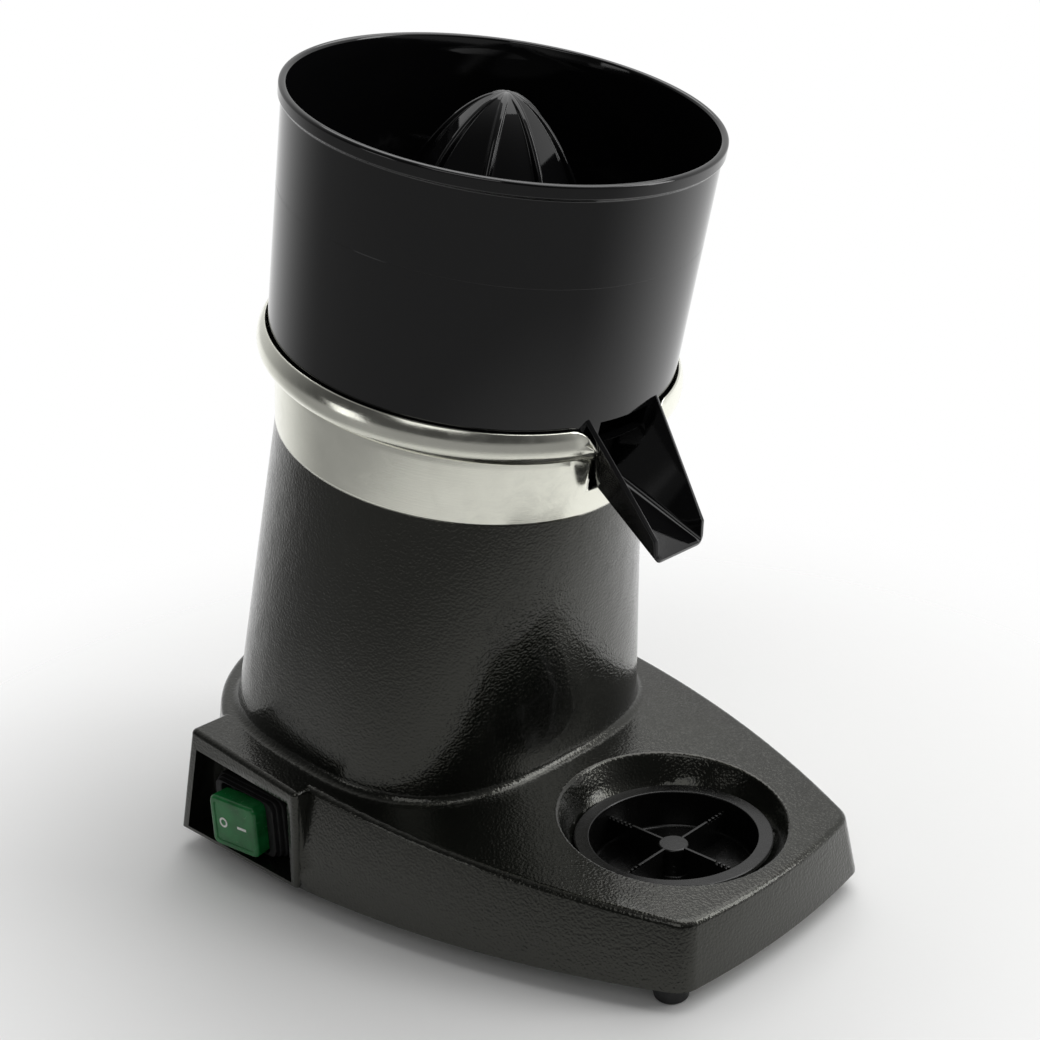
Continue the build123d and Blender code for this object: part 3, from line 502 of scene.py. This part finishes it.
bmesh.ops.delete(bowl_mesh, geom=window, context="FACES")
rims = [edge for edge in bowl_mesh.edges if len(edge.link_faces) == 1]
bmesh.ops.bridge_loops(bowl_mesh, edges=rims)
bmesh.ops.recalc_face_normals(bowl_mesh, faces=bowl_mesh.faces)
spout_mesh = bmesh.new()
bmesh.ops.create_cube(spout_mesh, size=2)
for vert in spout_mesh.verts:
    at_root, at_top = vert.co.y > 0, vert.co.z > 0
    root = spout_crest if at_top else spout_keel
    lip = spout_lip_top if at_top else spout_lip_foot
    half, reach, station = root if at_root else lip
    vert.co = (vert.co.x * half, -reach, station)
open_sides = []
for face in spout_mesh.faces:
    at_root = all(vert.co.y > -spout_crest[1] - spout_wall for vert in face.verts)
    at_lip = all(vert.co.y < spout_wall - spout_lip_top[1] for vert in face.verts)
    on_top = all(vert.co.z > spout_lip_foot[2] + spout_wall for vert in face.verts) and not at_root
    uncovered = on_top and abs(face.calc_center_median().x) < spout_wall
    if at_root or at_lip or uncovered:
        open_sides.append(face)
bmesh.ops.delete(spout_mesh, geom=open_sides, context="FACES")
folds = [edge for edge in spout_mesh.edges if len(edge.link_faces) == 2]
bmesh.ops.bevel(
    spout_mesh, geom=folds, affect="EDGES", offset=spout_fold_r, segments=spout_fold_segments, profile=0.5,
    material=-1,
)
runs = [edge for edge in spout_mesh.edges if abs(edge.verts[0].co.y - edge.verts[1].co.y) > spout_row_length]
bmesh.ops.subdivide_edges(spout_mesh, edges=runs, cuts=spout_rows, use_grid_fill=True)
bmesh.ops.recalc_face_normals(spout_mesh, faces=spout_mesh.faces)
trough_floor = [face for face in spout_mesh.faces if abs(face.calc_center_median().x) < spout_middle]
if trough_floor[0].normal.z > 0:
    bmesh.ops.reverse_faces(spout_mesh, faces=spout_mesh.faces)
bmesh.ops.solidify(spout_mesh, geom=spout_mesh.faces[:], thickness=spout_wall)
corners = [edge for edge in spout_mesh.edges if edge.calc_face_angle(0) > spout_edge_angle]
bmesh.ops.bevel(
    spout_mesh, geom=corners, affect="EDGES", offset=spout_edge_r, segments=spout_edge_segments, profile=0.5,
    material=-1,
)
join(bowl_mesh, spout_mesh)
gloss_black = finish(
    "gloss_black_moulding", paint(10, 10, 11), paint(14, 14, 15),
    gloss=0.035, matt=0.09, patch=12, grain=2600, relief=0.000004,
    plain={"IOR": 1.5, "Specular IOR Level": 0.55},
)
bowl = piece("bowl_with_spout", bowl_mesh, leaning, gloss_black, sharp=28)
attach(bowl, "bowl")
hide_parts("juice_bowl")

# Strainer: a slotted ring of the same gloss-black moulding that holds back the pulp.
# It stands loose on six short legs on the bowl's floor.
strainer = smooth_copy("slotted_strainer", "strainer", gloss_black, sharp=30)
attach(strainer, "strainer")
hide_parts("strainer")

# Reamer: a gloss-black moulded cone with eight narrow ribs and flattened panels between them.
# Its hub drops over the shaft, where the drive pin turns it.
rib_count = 8
rib_turn = math.radians(35)
reamer_body_r = 39.5
reamer_rib_r = 43.5
reamer_foot = 86.0
reamer_tip = 149.8
reamer_skirt = 82.0
skirt_ceiling = 82.6
skirt_inner_r = 36.0
hub_bore_r = 6.4
hub_r = 12.0
hub_low = 66.0
rib_half_width = 1.9
rib_crown_share = 0.5
rib_fade = 0.6
rib_sector_share = 0.8
rib_column_share = 0.5
panel_flatness = 0.9
cone_roundness = 1.4
cone_fullness = 0.58
row_crowding = 1.5
least_r = 0.01
sector_columns = 32
reamer_rows = 56
reamer_steps = 192
cone_merge_distance = 0.002


def reamer_point(across, up):
    """Point of the cone for grid places from -1 to 1, with columns kept close together at each rib."""
    sector = (across + 1) / 2 * rib_count
    index = min(int(sector + 1e-6), rib_count - 1)
    place = 2 * (sector - index) - 1
    rise = 1 - (1 - (up + 1) / 2) ** row_crowding
    body_r = max(reamer_body_r * (1 - rise**cone_roundness) ** cone_fullness, 0.0)
    half_sector = math.pi / rib_count
    rib_angle = rib_sector_share * half_sector
    if body_r > least_r:
        rib_angle = min(rib_half_width / body_r, rib_angle)
    near = min(abs(place) / rib_column_share, 1)
    far = max(abs(place) - rib_column_share, 0) / (1 - rib_column_share)
    turn = near * rib_angle + far * (half_sector - rib_angle)
    side = min(max((1 - near) / rib_crown_share, 0), 1)
    rib = (reamer_rib_r - reamer_body_r) * (1 - rise) ** rib_fade * side * side * (3 - 2 * side)
    flat = math.cos(half_sector) / math.cos(half_sector - turn)
    radius = body_r * (1 - panel_flatness * (1 - flat)) + rib
    angle = rib_turn + (index + 0.5) * 2 * half_sector + math.copysign(turn, place) - half_sector
    station = reamer_foot + rise * (reamer_tip - reamer_foot)
    return Vector((radius * math.cos(angle), radius * math.sin(angle), station))


reamer_outline = [
    (hub_bore_r, hub_low, 0.4),
    (hub_r, hub_low, 0.8),
    (hub_r, skirt_ceiling, 0),
    (skirt_inner_r, skirt_ceiling, 0),
    (skirt_inner_r, reamer_skirt, 0),
    (reamer_rib_r, reamer_skirt, 0.8),
    (reamer_rib_r, reamer_foot, 1.2),
    (hub_bore_r, reamer_foot, 0),
]
reamer_mesh = bmesh.new()
turned(reamer_mesh, reamer_outline, reamer_steps)
cone_mesh = bmesh.new()
bmesh.ops.create_grid(cone_mesh, x_segments=rib_count * sector_columns, y_segments=reamer_rows, size=1)
for vert in cone_mesh.verts:
    vert.co = reamer_point(vert.co.x, vert.co.y)
bmesh.ops.remove_doubles(cone_mesh, verts=cone_mesh.verts, dist=cone_merge_distance)
face_outwards(cone_mesh)
join(reamer_mesh, cone_mesh)
reamer = piece("ribbed_reamer", reamer_mesh, leaning, gloss_black, sharp=50)
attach(reamer, "reamer")
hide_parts("reamer")

# Drip cup: a shallow black moulding that drops into the base, with a wide lip and a post in the middle.
# Four ribs with small notches cut near the wall brace the post.
cup_centre = Vector((0, -94.2, 0))
cup_lip_r = 41.8
cup_wall_r = 38.2
cup_inner_r = 35.4
cup_low = 13.5
cup_floor_top = 15.5
cup_lip_low = 30.6
cup_top = 32.8
cup_steps = 128
post_r = 6.5
rib_thickness = 1.2
rib_top = 28.3
rib_end = 35.8
rib_post_overlap = 0.6
rib_floor_overlap = 0.5
rib_joint_overlap = 0.2
rib_edge_r = 0.15
notch_size = 1.2
notch_count = 5
tooth_overlap = 0.3
mark_turn = math.radians(220)
mark_height = 19.4
mark_outline = [(1.1, -0.4, 0), (1.6, -0.4, 0), (1.6, 0.25, 0.1), (1.1, 0.25, 0.1)]
mark_steps = 24
satin_black = finish(
    "satin_black_moulding", paint(10, 10, 10), paint(15, 15, 14),
    gloss=0.2, matt=0.34, patch=26, grain=2400, relief=0.00001, plain={"IOR": 1.5},
)


def block(bm, low, high):
    """Box between two corners."""
    low, high = Vector(low), Vector(high)
    size = Matrix.Diagonal((*(high - low), 1))
    bmesh.ops.create_cube(bm, size=1, matrix=Matrix.Translation((low + high) / 2) @ size)


def rib_block(bm, start, low, end, high):
    """Box of the cup rib's thickness, from a start to an end along the rib."""
    block(bm, (start, -rib_thickness / 2, low), (end, rib_thickness / 2, high))


cup_outline = [
    (0, cup_low, 0),
    (cup_wall_r, cup_low, 1.2),
    (cup_wall_r, cup_lip_low, 0.4),
    (cup_lip_r, cup_lip_low, 0.5),
    (cup_lip_r, cup_top, 0.7),
    (cup_inner_r, cup_top, 0.6),
    (cup_inner_r, cup_floor_top, 1.5),
    (post_r, cup_floor_top, 0.8),
    (post_r, rib_top, 0.8),
    (0, rib_top, 0),
]
cup_mesh = bmesh.new()
turned(cup_mesh, cup_outline, cup_steps)
rib_mesh = bmesh.new()
rib_low = cup_floor_top - rib_floor_overlap
notch_start = rib_end - 2 * notch_size * (notch_count + 0.5)
rib_block(rib_mesh, post_r - rib_post_overlap, rib_low, notch_start, rib_top)
rib_block(rib_mesh, notch_start - rib_joint_overlap, rib_low, rib_end, rib_top - notch_size)
for tooth in range(notch_count):
    start = notch_start + notch_size * (2 * tooth + 1)
    rib_block(rib_mesh, start, rib_top - notch_size - tooth_overlap, start + notch_size, rib_top)
bmesh.ops.bevel(
    rib_mesh, geom=rib_mesh.edges[:], affect="EDGES", offset=rib_edge_r, segments=2, profile=0.5, material=-1
)
for quarter in range(4):
    fresh = join(cup_mesh, rib_mesh.copy())
    quarter_turn = Matrix.Rotation(quarter * math.pi / 2, 3, "Z")
    bmesh.ops.rotate(cup_mesh, cent=(0, 0, 0), matrix=quarter_turn, verts=fresh)
rib_mesh.free()
mark_mesh = bmesh.new()
turned(mark_mesh, mark_outline, mark_steps)
facing = Matrix.Rotation(mark_turn, 4, "Z") @ Matrix.Translation((post_r, 0, mark_height))
bmesh.ops.transform(mark_mesh, matrix=facing @ Matrix.Rotation(math.pi / 2, 4, "Y"), verts=mark_mesh.verts)
join(cup_mesh, mark_mesh)
cup_place = millimetres @ Matrix.Translation(cup_centre)
drip_cup = piece("drip_cup_moulded", cup_mesh, cup_place, satin_black)
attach(drip_cup, "drip_cup")
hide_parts("drip_cup")

# Switch bezel: a soft rubber surround in three shrinking steps that keeps juice out of the switch.
# It is clipped under the switch's flange, inside the shroud. Rings are (length, height, corner radius, depth).
switch_centre = Vector((-94.0, 68.5, 25.2))
ring_corner_segments = 8
bezel_rings = [
    (46.0, 29.0, 4.5, 0.0),
    (46.0, 29.0, 4.5, 1.7),
    (45.4, 28.6, 4.3, 2.1),
    (43.2, 28.1, 4.2, 2.2),
    (43.0, 28.0, 4.1, 3.9),
    (42.4, 27.6, 4.0, 4.3),
    (40.4, 27.1, 3.9, 4.4),
    (40.2, 27.0, 3.8, 6.1),
    (39.4, 26.9, 3.6, 6.5),
    (32.2, 26.2, 3.4, 6.6),
    (31.4, 25.8, 3.2, 6.2),
    (31.4, 25.8, 3.2, 0.8),
]


def rounded_ring(bm, length, height, corner_r, depth, filled):
    """Loop of edges round a rounded rectangle, length along Y and height along Z, at a depth along -X."""
    old = set(bm.faces)
    corners = [(-1, -1), (1, -1), (1, 1), (-1, 1)]
    verts = [bm.verts.new((-depth, y * length / 2, z * height / 2)) for y, z in corners]
    bm.faces.new(verts)
    bmesh.ops.bevel(
        bm, geom=verts, affect="VERTICES", offset=corner_r, segments=ring_corner_segments, profile=0.5,
        material=-1,
    )
    face = next(face for face in bm.faces if face not in old)
    edges = face.edges[:]
    if not filled:
        bmesh.ops.delete(bm, geom=[face], context="FACES_ONLY")
    return edges


def ringed(bm, rings, closed_front):
    """Skin over a row of rounded rectangles; the last one keeps its face where it is the front."""
    loops = [rounded_ring(bm, *ring, closed_front and ring == rings[-1]) for ring in rings]
    for one, other in zip(loops, loops[1:]):
        bmesh.ops.bridge_loops(bm, edges=one + other)
    bmesh.ops.recalc_face_normals(bm, faces=bm.faces)


bezel_mesh = bmesh.new()
ringed(bezel_mesh, bezel_rings, False)
switch_place = millimetres @ Matrix.Translation(switch_centre)
bezel = piece("switch_surround", bezel_mesh, switch_place, black_rubber, sharp=40)
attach(bezel, "housing")
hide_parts("switch_bezel")

# Rocker: a green translucent cap with rounded edges and a shallow sunk panel, tipped on its pivot with the
# circle's end standing proud. The circle and the dash are printed in white.
cap_rings = [
    (22.0, 13.0, 2.0, -6.0),
    (22.0, 13.0, 2.0, 5.0),
    (26.0, 22.4, 2.6, 5.2),
    (27.8, 24.2, 3.2, 5.8),
    (28.2, 24.8, 3.4, 13.2),
    (27.8, 24.4, 3.2, 14.1),
    (26.6, 23.2, 2.8, 14.8),
    (25.2, 21.8, 2.6, 14.98),
]
cap_border = 1.3
panel_step = 0.35
panel_sink = 0.5
cap_pivot = Vector((-91.0, 68.5, 25.2))
cap_tip = math.radians(7)
circle_place = 6.5
circle_inner_r = 1.5
circle_outer_r = 2.4
circle_steps = 40
dash_place = -4.8
dash_length = 5.4
dash_height = 1.2
print_depth = 14.48
print_height = 0.15
tipped = Matrix.Translation(cap_pivot) @ Matrix.Rotation(cap_tip, 4, "Z") @ Matrix.Translation(-cap_pivot)
cap_place = millimetres @ tipped @ Matrix.Translation(switch_centre)
green_plastic = finish(
    "green_lens", paint(14, 92, 42), paint(28, 124, 62),
    gloss=0.16, matt=0.3, patch=90, grain=2000, relief=0.00001,
    plain={"IOR": 1.49, "Subsurface Weight": 0.15, "Subsurface Radius": (0.0006, 0.002, 0.001)},
)
cap_mesh = bmesh.new()
ringed(cap_mesh, cap_rings, True)
panel = min(cap_mesh.faces, key=lambda face: face.calc_center_median().x)
bmesh.ops.inset_region(cap_mesh, faces=[panel], thickness=cap_border)
bmesh.ops.inset_region(cap_mesh, faces=[panel], thickness=panel_step, depth=-panel_sink)
cap = piece("rocker_cap", cap_mesh, cap_place, green_plastic, sharp=40)
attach(cap, "rocker")
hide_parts("switch_rocker")
white_print = finish(
    "white_print", paint(226, 230, 224), paint(240, 243, 238),
    gloss=0.4, matt=0.55, patch=200, grain=3000, relief=0.00001, plain={},
)
circle_outline = [
    (circle_inner_r, 0, 0),
    (circle_outer_r, 0, 0),
    (circle_outer_r, print_height, 0),
    (circle_inner_r, print_height, 0),
]
print_mesh = bmesh.new()
turned(print_mesh, circle_outline, circle_steps)
outward_turn = Matrix.Rotation(-math.pi / 2, 4, "Y")
circle_spot = Matrix.Translation((-print_depth, circle_place, 0))
bmesh.ops.transform(print_mesh, matrix=circle_spot @ outward_turn, verts=print_mesh.verts)
block(
    print_mesh,
    (-print_depth - print_height, dash_place - dash_length / 2, -dash_height / 2),
    (-print_depth, dash_place + dash_length / 2, dash_height / 2),
)
rocker_print = piece("rocker_print", print_mesh, cap_place, white_print)
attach(rocker_print, "rocker")

# Stage: a wide pale floor that fades into a white background, four soft boxes, a room that is brighter to the
# right, and the camera at the photograph's angle.
floor_reach = 14.0
floor_cells = 8
floor_clear_from = 0.15
floor_gone_at = 0.43
soft_boxes = [
    ("key", (-1.3, -0.9, 1.5), (1.1, 1.1), 4.2),
    ("overhead", (0.75, 0.0, 1.9), (2.4, 1.5), 20.0),
    ("right_front", (1.0, -1.3, 0.9), (0.5, 1.3), 9.0),
    ("left_side", (-1.6, 0.45, 0.3), (0.5, 0.5), 0.9),
]
aim = Vector((0, 0, 0.17))
room_light = (0.05, 0.72)
room_turn_range = (-0.6, 0.9)
room_brightens_to = Vector((0.85, 0.35, 0.1))
below_floor_light = (0.27, 1.05)
below_floor_turn_range = (-0.3, 0.75)
horizon_range = (-0.12, 0.04)
background_light = 1.0
camera_place = Vector((-0.50314, -0.51298, 0.42335))
camera_right = Vector((0.69239, -0.72013, -0.0449))
camera_up = Vector((0.28444, 0.21523, 0.93422))
camera_back = Vector((-0.66309, -0.65961, 0.35386))
lens_length = 61.674


def eased(nodes, source_range, low, high):
    """Map Range node that eases from low to high over a range of its value."""
    ramp = nodes.new("ShaderNodeMapRange")
    ramp.interpolation_type = "SMOOTHSTEP"
    start, end = source_range
    return settle(ramp, {"From Min": start, "From Max": end, "To Min": low, "To Max": high})


pale_floor = finish(
    "pale_floor", paint(250, 250, 249), paint(253, 253, 252),
    gloss=0.55, matt=0.7, patch=2.0, grain=300, relief=0.00005, plain={},
)
floor_nodes, floor_links = pale_floor.node_tree.nodes, pale_floor.node_tree.links
floor_spot = floor_nodes.new("ShaderNodeTexCoord")
floor_distance = floor_nodes.new("ShaderNodeVectorMath")
floor_distance.operation = "LENGTH"
floor_fade = eased(floor_nodes, (floor_clear_from, floor_gone_at), 1.0, 0.0)
floor_links.new(floor_spot.outputs["Object"], floor_distance.inputs[0])
floor_links.new(floor_distance.outputs["Value"], floor_fade.inputs["Value"])
floor_links.new(floor_fade.outputs["Result"], floor_nodes["Principled BSDF"].inputs["Alpha"])
floor_mesh = bmesh.new()
bmesh.ops.create_grid(floor_mesh, x_segments=floor_cells, y_segments=floor_cells, size=floor_reach)
floor = piece("floor", floor_mesh, Matrix.Identity(4), pale_floor)
for name, place, (wide, high), power in soft_boxes:
    light = bpy.data.lights.new(name, "AREA")
    light.shape = "RECTANGLE"
    light.size = wide
    light.size_y = high
    light.energy = power
    lamp = bpy.data.objects.new(name, light)
    bpy.context.scene.collection.objects.link(lamp)
    lamp.location = place
    lamp.rotation_euler = (aim - Vector(place)).to_track_quat("-Z", "Y").to_euler()
world = bpy.data.worlds.new("room")
world.use_nodes = True
bpy.context.scene.world = world
room_nodes, room_links = world.node_tree.nodes, world.node_tree.links
room = settle(room_nodes["Background"], {"Color": (1, 1, 1, 1)})
room_path = room_nodes.new("ShaderNodeLightPath")
room_side = room_nodes.new("ShaderNodeTexCoord")
room_turn = room_nodes.new("ShaderNodeVectorMath")
room_turn.operation = "DOT_PRODUCT"
room_turn.inputs[1].default_value = room_brightens_to.normalized()
room_height = room_nodes.new("ShaderNodeSeparateXYZ")
room_above = eased(room_nodes, horizon_range, 0.0, 1.0)
room_shade = eased(room_nodes, room_turn_range, *room_light)
room_low = eased(room_nodes, below_floor_turn_range, *below_floor_light)
room_all = room_nodes.new("ShaderNodeMix")
room_strength = settle(room_nodes.new("ShaderNodeMix"), {"B": background_light})
room_links.new(room_side.outputs["Generated"], room_turn.inputs[0])
room_links.new(room_turn.outputs["Value"], room_shade.inputs["Value"])
room_links.new(room_turn.outputs["Value"], room_low.inputs["Value"])
room_links.new(room_side.outputs["Generated"], room_height.inputs["Vector"])
room_links.new(room_height.outputs["Z"], room_above.inputs["Value"])
room_links.new(room_above.outputs["Result"], room_all.inputs["Factor"])
room_links.new(room_low.outputs["Result"], room_all.inputs["A"])
room_links.new(room_shade.outputs["Result"], room_all.inputs["B"])
room_links.new(room_path.outputs["Is Camera Ray"], room_strength.inputs["Factor"])
room_links.new(room_all.outputs["Result"], room_strength.inputs["A"])
room_links.new(room_strength.outputs["Result"], room.inputs["Strength"])
camera_data = bpy.data.cameras.new("camera")
camera_data.lens = lens_length
camera = bpy.data.objects.new("camera", camera_data)
bpy.context.scene.collection.objects.link(camera)
axes = Matrix((camera_right, camera_up, camera_back)).transposed().to_4x4()
camera.matrix_world = Matrix.Translation(camera_place) @ axes
bpy.context.scene.camera = camera
bpy.context.scene.view_settings.view_transform = "Standard"
